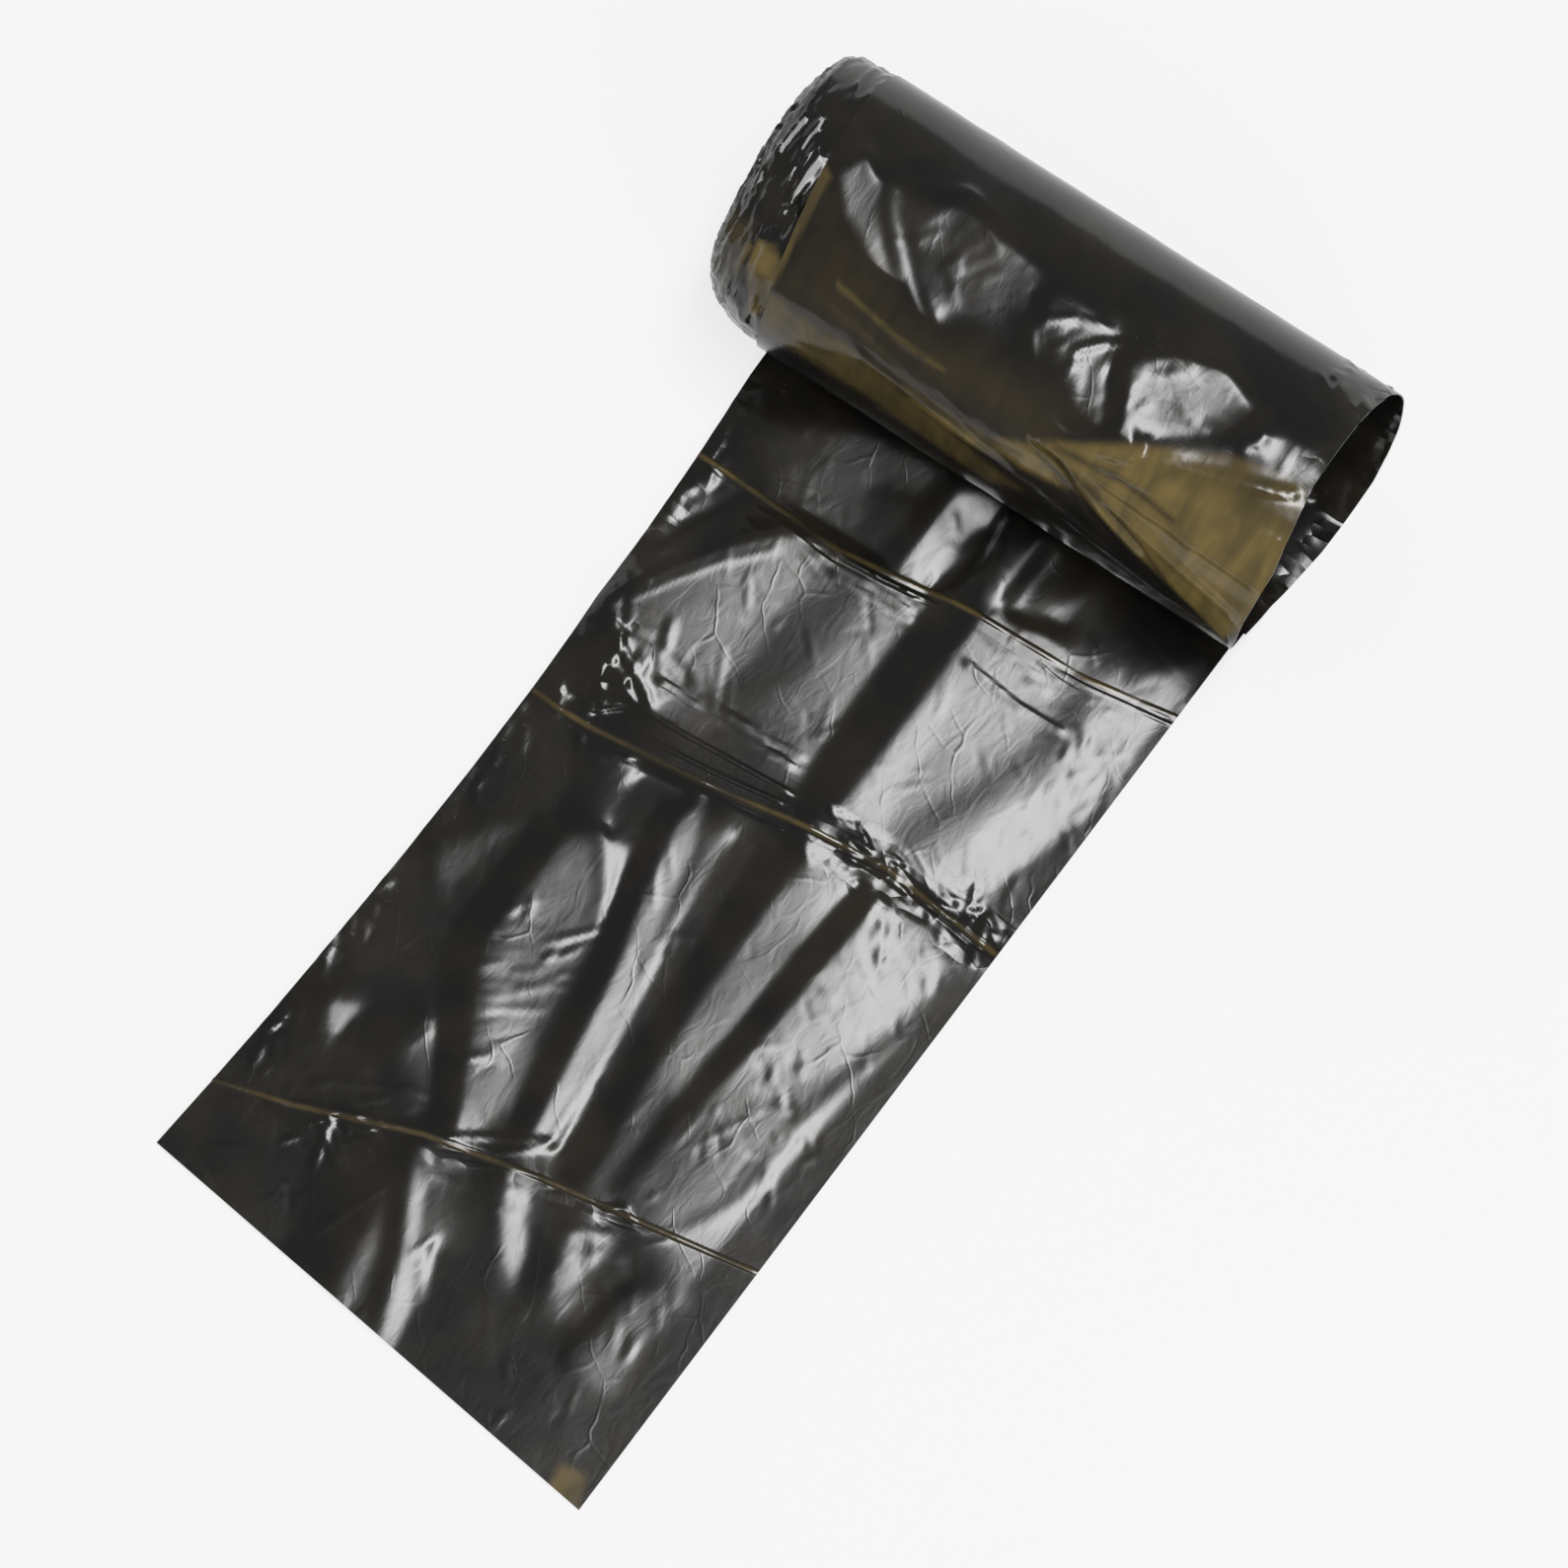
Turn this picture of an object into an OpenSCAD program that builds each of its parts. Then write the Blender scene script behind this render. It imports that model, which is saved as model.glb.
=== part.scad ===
// A coreless roll of thin bin bags. The bags hang together as one folded web of film.
// The web is wound up, comes over the top and down the front of the roll, folds forward
// under the roll's bulge and lies out on the floor as a creased, fluted tail.
// X runs along the roll, the tail runs towards -Y, and the floor is z = 0.

/* [Web] */
// Width of the folded web
web_w = 150; // [125:1:175]
// Drawn thickness of a wound turn
turn_t = 1.7; // [1.4:0.1:2.4]
// Drawn gap between neighbouring turns
turn_gap = 0.25; // [0.2:0.05:0.5]
// Drawn thickness of the film that lies on the floor
tail_t = 1; // [0.8:0.1:1.4]

/* [Roll] */
// Outer diameter of the roll
roll_d = 81; // [64:1:100]
// Width of the collapsed hole along the middle
hole_w = 10; // [6:1:16]
// Height of the collapsed hole
hole_h = 3.4; // [2.6:0.2:3.8]
// How far the inner turns have slid out at the left end
slide_out = 21.5; // [14:0.5:30]
// Radius that rounds off the turns that have slid out
slide_round = 13; // [6:1:14]
// How unevenly the edges of the turns lie
edge_scatter = 0.7; // [0:0.1:1.5]
// How far to the right the outer turn runs as it comes down the front
front_lead = 5; // [-4:1:8]
// How far to the right the outer turn stands at the back
back_lead = 8; // [0:1:10]

/* [Fold at the base] */
// Inner radius of the fold where the web turns forward
fold_r = 3; // [2:0.5:6]

/* [Tail] */
// Length of the tail along its middle
tail_len = 288.5; // [270:0.5:420]
// Angle by which the tail runs off to the left
tail_skew = 3.1; // [0:0.1:8]
// Angle of the torn-off end
end_slant = -7.5; // [-10:0.5:10]
// How far the left edge draws in half way along
left_bow = 6.5; // [0:0.5:12]
// Height of a sharp crease across the web
crease_h = 1.2; // [0.4:0.1:2.5]
// Half the width of such a crease
crease_w = 3.5; // [2:0.5:6]
// Distance of the first crease from the fold at the base
crease_1 = 38; // [25:0.5:55]
// Angle of the first crease
crease_1_slant = 4; // [0:0.5:8]
// Distance of the second crease, the sealed bottom of the bag
crease_2 = 112; // [95:0.5:135]
// Angle of the second crease
crease_2_slant = 4; // [0:0.5:8]
// Distance of the third crease
crease_3 = 233.5; // [200:0.5:245]
// Angle of the third crease
crease_3_slant = 14; // [6:0.5:15]
// How much the film stands up off the floor, as a share of what is drawn
swell = 1; // [0.3:0.1:1.5]

/* [Resolution] */
// Facets to a turn, an even number so that the roll has a flat spot below
turn_facets = 28; // [24:2:32]
// Facets across the web where it can be seen
web_facets = 20; // [12:2:24]

/* [Hidden] */

film_colour = [0.09, 0.09, 0.085];
roll_r = roll_d / 2;
pitch = turn_t + turn_gap;
step = 360 / turn_facets;
half_w = web_w / 2;

// Turns counted inwards from the fold, and the length of the outer turn that is drawn finely
turns = (roll_r - turn_t - hole_w / 2) / pitch;
fine_turn = 0.7;
// Stretch of the outer turn, in turns, over which the web thins to the thickness of the tail
thinning = 0.25;
fold_steps = 6;
// Rows of facets in the four panels that the creases divide the tail into
panel_rows = [4, 8, 13, 6];

// The angle at which the web leaves the roll, as seen along -X, so that the fold's circle
// touches both the roll and the film on the floor. The roll's own height depends on it a little.
below = -90;
function bottom_r(leave) = roll_r - pitch * (leave - below) / 360;
function height_for(leave) = bottom_r(leave) * flatten(bottom_r(leave)) * cos(step / 2);
function leave_for(tries) = tries == 0 ? 235
    : let (h = height_for(leave_for(tries - 1)))
      180 + asin((h - fold_r - tail_t) / (roll_r + fold_r));

// The middle of a coreless roll falls in: circles near it are pressed flat
function flatten(r) = 1 - (1 - hole_h / hole_w) * pow((roll_r - r) / (roll_r - hole_w / 2), 3);

leave_a = leave_for(4);
axis_z = height_for(leave_a);
fold_y = (roll_r + fold_r) * cos(leave_a);
fold_z = axis_z + (roll_r + fold_r) * sin(leave_a);

// Both corners of a facet that faces the floor share one radius, so that it lies flat
function wrapped(a) = ((a - below + 180) % 360 + 360) % 360 - 180;
function level_a(a) = abs(wrapped(a)) < step * 0.6 ? a - wrapped(a) : a;
function outer_r(a) = roll_r - pitch * (leave_a - level_a(a)) / 360;
function inward(a) = (leave_a - a) / 360;
function thickness(a) = tail_t + (turn_t - tail_t) * min(1, inward(a) / thinning);
function on_roll(r, a) = [r * cos(a), axis_z + r * flatten(min(r, roll_r)) * sin(a)];

// Sideways place of the web: the outer turn runs askew to the right, and the turns inside it
// have slid out to the left, with a rounded shoulder
round_from = roll_r - slide_round;
function slid(r) = r < round_from ? -slide_out
    : slide_round - slide_out - sqrt(max(0, pow(slide_round, 2) - pow(r - round_from, 2)));
fold_lead = front_lead * 0.7;
// How many turns in from the fold the web has come back to the turns that have slid out
tucked = 1.2;
function sideways(a) = inward(a) >= tucked ? slid(outer_r(a))
    : lookup(inward(a), [[0, fold_lead], [0.17, front_lead], [0.39, 0], [0.78, back_lead],
                         [1, fold_lead], [tucked, slid(roll_r - pitch * tucked)]]);
function scatter(a, side) = inward(a) < fine_turn ? 0
    : edge_scatter * (sin(a * 0.37 + 140 * side) + sin(a * 1.13 + 60 * side)) / 2;

// Swells of the film that lies on the floor. Each climbs steeply from its left edge and falls
// evenly to its right edge. It has its distances along the tail where it begins and ends, its
// left edge there, its right edge there, and how far it falls for each millimetre to the right.
climb = 0.35;
tail_swells = [
    [[4, 26], [-58, -62], [-4, 2], 0.035],
    [[12, 38], [6, 8], [72, 76], 0.02],
    [[44, 107], [-38, -76], [4, 6], 0.075],
    [[35, 106], [9, 9], [76, 68], 0.07],
    [[146, 232], [-40, -24], [-18, -2], 0.07],
    [[121, 222], [-18, 0], [-7, 11], 0.085],
    [[118, 224], [16, 22], [34, 32], 0.06],
    [[118, 225], [36, 32], [68, 48], 0.045],
    [[154, 182], [-66, -60], [-48, -50], 0.05],
    [[236, 292], [-8, 0], [20, 16], 0.08],
];
// Soft ridges on the roll, each between two places, with half its width and its share of
// roll_lift. A place is the distance to the right of the middle and the angle round the axis.
roll_lift = 1.1;
roll_ridges = [
    [[-54, 92], [-30, 118], 6, 0.9],
    [[-8, 92], [10, 80], 7, 0.8],
    [[20, 98], [50, 88], 9, 1],
    [[12, 133], [58, 98], 8, 1],
    [[58, 98], [72, 88], 7, 0.9],
    [[-60, 142], [-14, 150], 8, 0.6],
    [[10, 140], [60, 165], 10, 0.7],
];

function away(p, a, b) = let (t = (p - a) * (b - a) / ((b - a) * (b - a)))
    norm(p - a - max(0, min(1, t)) * (b - a));
function bump(d, w) = d >= w ? 0 : (1 + cos(180 * d / w)) / 2;
function arc_mm(place) = [place[0], place[1] * PI / 180 * roll_r];
function between(pair, t) = pair[0] + (pair[1] - pair[0]) * t;
function swell_lift(w, p) = let (t = (p[1] - w[0][0]) / (w[0][1] - w[0][0]))
    max(0, min(w[3] * (between(w[2], t) - p[0]), climb * (p[0] - between(w[1], t)),
               climb * (p[1] - w[0][0]), climb * (w[0][1] - p[1])));
function tail_lift(p) = swell * max([for (w = tail_swells) swell_lift(w, p)]);
function wrap_lift(p) = roll_lift
    * max([for (r = roll_ridges) r[3] * bump(away(arc_mm(p), arc_mm(r[0]), arc_mm(r[1])), r[2])]);

// Creases divide the tail into panels. Each is a distance from the fold and a slant.
creases = [[0, 0], [crease_1, crease_1_slant], [crease_2, crease_2_slant],
           [crease_3, crease_3_slant], [tail_len, end_slant]];
function crease_at(k, x) = creases[k][0] - tan(creases[k][1]) * x;
function crease_lift(x, s) = crease_h
    * max([for (k = [1:3]) (0.75 + 0.25 * sin(x * 9 + 80 * k)) * max(0, 1 - abs(s - crease_at(k, x)) / crease_w)]);

// Distances along one panel, from the row after its first crease to its last crease
function panel(k, x) = let (from = crease_at(k, x), to = crease_at(k + 1, x),
                            near = from + crease_w, far = to - crease_w, n = panel_rows[k])
    [for (i = [0:n - 1]) near + (far - near) * i / (n - 1), to];
function tail_rows(x) = [for (k = [0:3]) each panel(k, x)];

// A cross-section of the web is a list of places on its outer face and one on its inner face,
// each from left to right
function face_pair(outer, inner) = [outer, inner];
function coarse_section(a) = let (r = outer_r(a), t = thickness(a), x = sideways(a),
                                  o = on_roll(r, a), i = on_roll(r - t, a),
                                  left = x - half_w + scatter(a, 0), right = x + half_w + scatter(a, 1))
    face_pair([[left, o[0], o[1]], [right, o[0], o[1]]], [[left, i[0], i[1]], [right, i[0], i[1]]]);

columns = [for (j = [0:web_facets]) -half_w + web_w * j / web_facets];
function roll_face(a, depth) = [for (c = columns)
    let (p = on_roll(outer_r(a) - depth + wrap_lift([c + sideways(a), a]), a))
    [c + sideways(a), p[0], p[1]]];
function wrap_section(a) = face_pair(roll_face(a, 0), roll_face(a, thickness(a)));

fold_from = leave_a - 180;
fold_to = -90;
function fold_face(i, r) = let (b = fold_from + (fold_to - fold_from) * i / fold_steps)
    [for (c = columns) [c + fold_lead * (1 - i / fold_steps), fold_y + r * cos(b), fold_z + r * sin(b)]];
function fold_section(i) = face_pair(fold_face(i, fold_r), fold_face(i, fold_r + tail_t));

function drawn_in(c, s) = left_bow * sin(180 * s / tail_len) * (half_w - c) / web_w;
function tail_face(i, z) = [for (c = columns)
    let (s = tail_rows(c)[i], x = c + drawn_in(c, s))
    [x - s * sin(tail_skew), fold_y - s * cos(tail_skew), z + max(tail_lift([x, s]), crease_lift(c, s))]];
function tail_section(i) = face_pair(tail_face(i, tail_t), tail_face(i, 0));

// Stations along the web, from the middle of the roll to the torn end
first_grid = below + step / 2;
function grid_a(k) = first_grid + step * k;
k_first = ceil((leave_a - 360 * turns - first_grid) / step);
k_fine = floor((leave_a - 360 * fine_turn - first_grid) / step);
k_last = floor((leave_a - first_grid) / step - 0.3);
coarse = [for (k = [k_first:k_fine - 1]) coarse_section(grid_a(k))];
fine = concat([for (k = [k_fine:k_last]) wrap_section(grid_a(k))],
              [wrap_section(leave_a)],
              [for (i = [1:fold_steps]) fold_section(i)],
              [for (i = [0:len(tail_rows(0)) - 1]) tail_section(i)]);

module bag_roll() {
    loose = concat([for (s = coarse) each concat(s[0], s[1])], [for (s = fine) each concat(s[0], s[1])]);
    lo = [for (i = [0:2]) min([for (p = loose) p[i]])];
    hi = [for (i = [0:2]) max([for (p = loose) p[i]])];
    centre = [(lo[0] + hi[0]) / 2, (lo[1] + hi[1]) / 2, lo[2]];
    nc = len(coarse);
    nf = len(fine);
    m = web_facets;
    fine_at = 4 * nc;
    // Point numbers: face 0 is the outer face and face 1 the inner one
    function c_at(i, side, face) = 4 * i + 2 * face + side;
    function f_at(i, j, face) = fine_at + 2 * (m + 1) * i + (m + 1) * face + j;
    function flip(t) = [t[2], t[1], t[0]];
    function halves(q) = [[q[0], q[1], q[2]], [q[0], q[2], q[3]]];
    function tiles(f, i, j) = halves([f_at(i, j, f), f_at(i, j + 1, f), f_at(i + 1, j + 1, f), f_at(i + 1, j, f)]);
    function side_tiles(at, next, side) = side == 0
        ? halves([at[0], next[0], next[1], at[1]])
        : halves([next[0], at[0], at[1], next[1]]);
    function c_edge(i, side) = [c_at(i, side, 0), c_at(i, side, 1)];
    function f_edge(i, side) = [f_at(i, side * m, 0), f_at(i, side * m, 1)];
    coarse_faces = [for (i = [0:nc - 2]) each concat(
        halves([c_at(i, 0, 0), c_at(i, 1, 0), c_at(i + 1, 1, 0), c_at(i + 1, 0, 0)]),
        halves([c_at(i + 1, 0, 1), c_at(i + 1, 1, 1), c_at(i, 1, 1), c_at(i, 0, 1)]),
        side_tiles(c_edge(i, 0), c_edge(i + 1, 0), 0),
        side_tiles(c_edge(i, 1), c_edge(i + 1, 1), 1))];
    // Where the columns begin, each face fans out from the last coarse section
    e = nc - 1;
    function fan(f) = concat([[c_at(e, 0, f), c_at(e, 1, f), f_at(0, m, f)]],
                             [for (j = [0:m - 1]) [c_at(e, 0, f), f_at(0, j + 1, f), f_at(0, j, f)]]);
    joint_faces = concat(fan(0), [for (t = fan(1)) flip(t)],
                         side_tiles(c_edge(e, 0), f_edge(0, 0), 0),
                         side_tiles(c_edge(e, 1), f_edge(0, 1), 1));
    fine_faces = [for (i = [0:nf - 2]) each concat(
        [for (j = [0:m - 1]) each concat(tiles(0, i, j), [for (t = tiles(1, i, j)) flip(t)])],
        side_tiles(f_edge(i, 0), f_edge(i + 1, 0), 0),
        side_tiles(f_edge(i, 1), f_edge(i + 1, 1), 1))];
    inner_end = halves([c_at(0, 1, 0), c_at(0, 0, 0), c_at(0, 0, 1), c_at(0, 1, 1)]);
    torn_end = [for (j = [0:m - 1]) each halves([f_at(nf - 1, j, 0), f_at(nf - 1, j + 1, 0),
                                                 f_at(nf - 1, j + 1, 1), f_at(nf - 1, j, 1)])];
    color(film_colour) translate(-centre)
        polyhedron(points = loose, faces = concat(inner_end, coarse_faces, joint_faces, fine_faces, torn_end),
                   convexity = 20);
}

bag_roll();
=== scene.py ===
# A coreless roll of thin black bin bags lies on a pale floor. The web comes over the top
# and down the front, folds forward under the roll and lies out as a creased, fluted tail.
import math
import bpy
import numpy as np
from mathutils import Matrix, Vector


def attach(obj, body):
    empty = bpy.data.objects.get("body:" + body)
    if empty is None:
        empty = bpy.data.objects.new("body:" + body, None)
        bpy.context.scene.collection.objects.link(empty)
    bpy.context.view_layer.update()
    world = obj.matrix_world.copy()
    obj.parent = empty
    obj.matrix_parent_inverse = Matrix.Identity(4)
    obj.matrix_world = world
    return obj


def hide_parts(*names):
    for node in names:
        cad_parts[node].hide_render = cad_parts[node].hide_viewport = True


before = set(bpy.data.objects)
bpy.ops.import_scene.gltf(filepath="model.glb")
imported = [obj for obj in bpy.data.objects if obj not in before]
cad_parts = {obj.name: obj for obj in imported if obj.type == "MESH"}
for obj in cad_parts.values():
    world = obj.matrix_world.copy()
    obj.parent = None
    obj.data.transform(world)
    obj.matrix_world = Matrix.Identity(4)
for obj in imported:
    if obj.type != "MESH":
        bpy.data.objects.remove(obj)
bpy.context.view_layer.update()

mm = 0.001

# Millimetres: x runs along the roll, measured from its middle, and y and z from the axis's foot
frameShift = np.array([7.004, 142.698, 0.0])

web = {
    "film": 0.4,          # drawn thickness of the film
    "radius": 40.4,       # outer face of the last turn
    "axisHeight": 38.5,
    "leaveAngle": 232.0,  # where the web leaves the roll, from the back over the top
    "foldRadius": 3.4,
    "foldHeight": 4.0,
    "skew": 3.1,          # the tail runs off to the left by this angle
    "sharpAngle": 50,     # edges sharper than this stay sharp
}


def clearSelection():
    bpy.ops.object.select_all(action="DESELECT")


def readPlaces(piece):
    places = np.empty(len(piece.data.vertices) * 3)
    piece.data.vertices.foreach_get("co", places)
    return places.reshape(-1, 3)


def writePlaces(piece, places):
    piece.data.vertices.foreach_set("co", np.ascontiguousarray(places, dtype=float).ravel())
    piece.data.update()


def writeUv(piece, across, along):
    layer = piece.data.uv_layers.new(name="web")
    corner = np.empty(len(piece.data.loops), dtype=int)
    piece.data.loops.foreach_get("vertex_index", corner)
    pairs = np.stack([across[corner], along[corner]], axis=1)
    layer.data.foreach_set("uv", pairs.ravel())


def writeMask(piece, name, values):
    mask = piece.data.attributes.new(name, "FLOAT", "POINT")
    mask.data.foreach_set("value", np.ascontiguousarray(values, dtype=np.float32))


def filmGrid(name, columns, rows):
    clearSelection()
    bpy.ops.mesh.primitive_grid_add(x_subdivisions=columns, y_subdivisions=rows, size=1)
    piece = bpy.context.object
    piece.name = name
    flat = readPlaces(piece)
    # The row and column of each vertex
    row, column = (flat[:, 1] + 0.5) * rows, (flat[:, 0] + 0.5) * columns
    return piece, np.rint(row).astype(int), np.rint(column).astype(int)


def smooth(low, high, value):
    t = np.clip((value - low) / (high - low), 0, 1)
    return t * t * (3 - 2 * t)


def tent(distance, half):
    return np.clip(1 - np.abs(distance) / half, 0, 1)


def softNoise(p, q, seed, cycle=256):
    # Smooth values from -1 to 1, with p and q in cells; p repeats after cycle cells
    table = np.random.default_rng(seed).uniform(-1, 1, (256, 256))
    ip, iq = np.floor(p).astype(int), np.floor(q).astype(int)
    tp, tq = p - ip, q - iq
    tp, tq = tp * tp * (3 - 2 * tp), tq * tq * (3 - 2 * tq)
    a, b = ip % cycle, (ip + 1) % cycle
    c, d = iq % 256, (iq + 1) % 256
    low = table[a, c] * (1 - tp) + table[b, c] * tp
    high = table[a, d] * (1 - tp) + table[b, d] * tp
    return low * (1 - tq) + high * tq


def crumple(p, q, seed, cycle):
    # Facets that meet in sharp creases, from -2 to 1
    broad = softNoise(p, q, seed, cycle)
    fine = softNoise(p * 2, q * 2, seed + 7, cycle * 2)
    return 1 - 2 * np.abs(broad) - np.abs(fine)


def fromLine(x, y, points, guard=0):
    # Distance from a polyline; guard allows a side without length
    near = np.full(x.shape, 1e9)
    for (x0, y0), (x1, y1) in zip(points[:-1], points[1:]):
        dx, dy = x1 - x0, y1 - y0
        t = np.clip(((x - x0) * dx + (y - y0) * dy) / (dx * dx + dy * dy + guard), 0, 1)
        near = np.minimum(near, np.hypot(x - x0 - t * dx, y - y0 - t * dy))
    return near


def crease(x, s, points, height, half, reach=3):
    # A sharp ridge along a polyline; reach rounds off its two ends
    fade = np.minimum(*(np.hypot(x - ex, s - es) for ex, es in (points[0], points[-1])))
    return height * tent(fromLine(x, s, points), half) * smooth(0, reach, fade + 0.3)


def shortCreases(x, s, count, box, lengths, lean, spread, height, half, seed):
    # Many short creases at seeded places in a box, leaning lean degrees from the x direction
    dice = np.random.default_rng(seed)
    total = np.zeros(x.shape)
    for i in range(count):
        cx, cs = dice.uniform(box[0], box[1]), dice.uniform(box[2], box[3])
        size = dice.uniform(*lengths) / 2
        turn = math.radians(lean + dice.normal(0, spread))
        dx, ds = math.cos(turn), math.sin(turn)
        rise = height * dice.uniform(0.4, 1) * dice.choice([1, 1, -0.7])
        near = (np.abs(x - cx) < size + 2) & (np.abs(s - cs) < size + 2)
        px, ps = x[near] - cx, s[near] - cs
        run, off = px * dx + ps * ds, -px * ds + ps * dx
        ridge = rise * tent(off, half * dice.uniform(0.7, 1.4))
        total[near] += ridge * smooth(-size, -size * 0.3, -np.abs(run))
    return total


def insidePatch(x, y, corners, soft):
    # 1 inside the polygon and 0 outside it, with an edge soft millimetres wide
    inside = np.zeros(x.shape, dtype=bool)
    closed = corners + corners[:1]
    for (x0, y0), (x1, y1) in zip(closed[:-1], closed[1:]):
        crosses = (y0 > y) != (y1 > y)
        safe = (y1 - y0) or 1e-9
        inside ^= crosses & (x < (x1 - x0) * (y - y0) / safe + x0)
    near = fromLine(x, y, closed, 1e-9)
    return smooth(-soft / 2, soft / 2, np.where(inside, near, -near))


settle = {
    "laps": 6,
    "rounds": 1200,
    "close": 1e-7,    # what is left of the misfit when a lap ends
    "hold": 20.0,     # how firmly film is held where it would sink into what it lies on
}


def settleFilm(wantX, wantS, grip, tie, spacing, lowest=0):
    # The height whose slopes come nearest to the wanted ones where grip is strong, at 0 where tie
    # is strong, smooth elsewhere, and never below lowest
    dx, ds = spacing
    gx, gs = (grip[:, 1:] + grip[:, :-1]) / 2, (grip[1:] + grip[:-1]) / 2
    wx, ws = (wantX[:, 1:] + wantX[:, :-1]) / 2, (wantS[1:] + wantS[:-1]) / 2

    def spread(fx, fs):
        out = np.zeros(grip.shape)
        out[:, 1:] += fx / dx
        out[:, :-1] -= fx / dx
        out[1:] += fs / ds
        out[:-1] -= fs / ds
        return out

    h = np.zeros(grip.shape)
    for lap in range(settle["laps"]):
        held = np.where(h < lowest, settle["hold"], tie)
        weight = held.copy()
        weight[:, 1:] += gx / dx ** 2
        weight[:, :-1] += gx / dx ** 2
        weight[1:] += gs / ds ** 2
        weight[:-1] += gs / ds ** 2
        rest = spread(gx * (wx - np.diff(h, axis=1) / dx), gs * (ws - np.diff(h, axis=0) / ds))
        rest = rest - held * (h - lowest * (h < lowest))
        step = rest / weight
        strength = (rest * step).sum()
        for i in range(settle["rounds"]):
            drag = spread(gx * np.diff(step, axis=1) / dx, gs * np.diff(step, axis=0) / ds)
            drag += held * step
            pace = strength / (step * drag).sum()
            h = h + pace * step
            rest = rest - pace * drag
            fresh = rest / weight
            nextStrength = (rest * fresh).sum()
            if nextStrength < settle["close"]:
                break
            step = fresh + nextStrength / strength * step
            strength = nextStrength
    return np.maximum(h, lowest)


def softened(field, times):
    for i in range(times):
        padded = np.pad(field, 1, mode="edge")
        field = (padded[1:-1, 1:-1] * 2 + padded[:-2, 1:-1] + padded[2:, 1:-1]
                 + padded[1:-1, :-2] + padded[1:-1, 2:]) / 6
    return field


def sampled(field, across, along):
    # The field between its grid points, at fractions of columns and rows
    i = np.clip(across, 0, field.shape[1] - 1.001)
    j = np.clip(along, 0, field.shape[0] - 1.001)
    i0, j0 = i.astype(int), j.astype(int)
    p, q = i - i0, j - j0
    low = field[j0, i0] * (1 - p) + field[j0, i0 + 1] * p
    high = field[j0 + 1, i0] * (1 - p) + field[j0 + 1, i0 + 1] * p
    return low * (1 - q) + high * q


def selectOnly(piece):
    clearSelection()
    piece.select_set(True)
    bpy.context.view_layer.objects.active = piece


def thicken(piece):
    # Gives the film its thickness, and keeps it above the floor
    selectOnly(piece)
    wall = piece.modifiers.new("film", "SOLIDIFY")
    wall.thickness = web["film"] * mm
    wall.offset = -1
    bpy.ops.object.modifier_apply(modifier=wall.name)
    places = readPlaces(piece)
    places[:, 2] = np.maximum(places[:, 2], 0)
    writePlaces(piece, places)


def finishPiece(piece, material):
    selectOnly(piece)
    bpy.ops.object.shade_smooth_by_angle(angle=math.radians(web["sharpAngle"]))
    piece.data.materials.clear()
    piece.data.materials.append(material)
    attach(piece, "root")
    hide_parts("bag_roll")
    triangles = sum(len(face.vertices) - 2 for face in piece.data.polygons)
    print(piece.name, "has", triangles, "triangles")


def toFrame(places):
    return (places + frameShift) * mm


def feed(tree, node, inputs):
    # Sets a node's inputs to numbers and colours, or links them to other nodes' outputs
    for socket, value in inputs.items():
        if isinstance(value, (int, float, tuple)):
            node.inputs[socket].default_value = value
        else:
            tree.links.new(value, node.inputs[socket])


def addNode(tree, kind, inputs):
    node = tree.nodes.new(kind)
    feed(tree, node, inputs)
    return node


def maths(tree, operation, first, second):
    step = addNode(tree, "ShaderNodeMath", {0: first, 1: second})
    step.operation = operation
    return step.outputs["Value"]


foldY = (web["radius"] + web["foldRadius"]) * math.cos(math.radians(web["leaveAngle"]))


stageLook = {
    "floorColour": (0.9, 0.9, 0.895, 1),
    "floorRough": 0.7,
    "floorGloss": 0.2,
    "floorWhite": 0.75,
    "floorSize": 8,
    "floorDrop": 0.0003,     # how far the floor lies below z = 0
    "zenith": 0.20,
    "horizon": 0.27,
    "centre": (0.004, 0.012, 0.01),
    # Name, direction, distance, size, radiance
    "lamps": [
        ("keyLamp", (0.10, 0.085, 0.99), 3.0, (0.40, 1.75), 10.0),
        ("softLamp", (0.10, 0.085, 0.99), 3.05, (0.64, 2.0), 6.0),
        ("fillLamp", (0.75, -0.45, 0.48), 2.2, (1.3, 1.3), 1.6),
        ("sideLamp", (-0.92, 0.22, 0.32), 2.2, (1.3, 1.3), 0.6),
    ],
}

bpy.context.scene.view_settings.view_transform = "Standard"

world = bpy.data.worlds.new("paleRoom")
bpy.context.scene.world = world
world.use_nodes = True
sky = world.node_tree
sky.nodes.clear()
upwards = addNode(sky, "ShaderNodeTexCoord", {}).outputs["Generated"]
height = addNode(sky, "ShaderNodeSeparateXYZ", {"Vector": upwards}).outputs["Z"]
strength = addNode(sky, "ShaderNodeMapRange", {
    "Value": height, "To Min": stageLook["horizon"], "To Max": stageLook["zenith"]})
light = addNode(sky, "ShaderNodeBackground", {
    "Color": (1, 1, 1, 1), "Strength": strength.outputs["Result"]})
addNode(sky, "ShaderNodeOutputWorld", {"Surface": light.outputs["Background"]})

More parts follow.
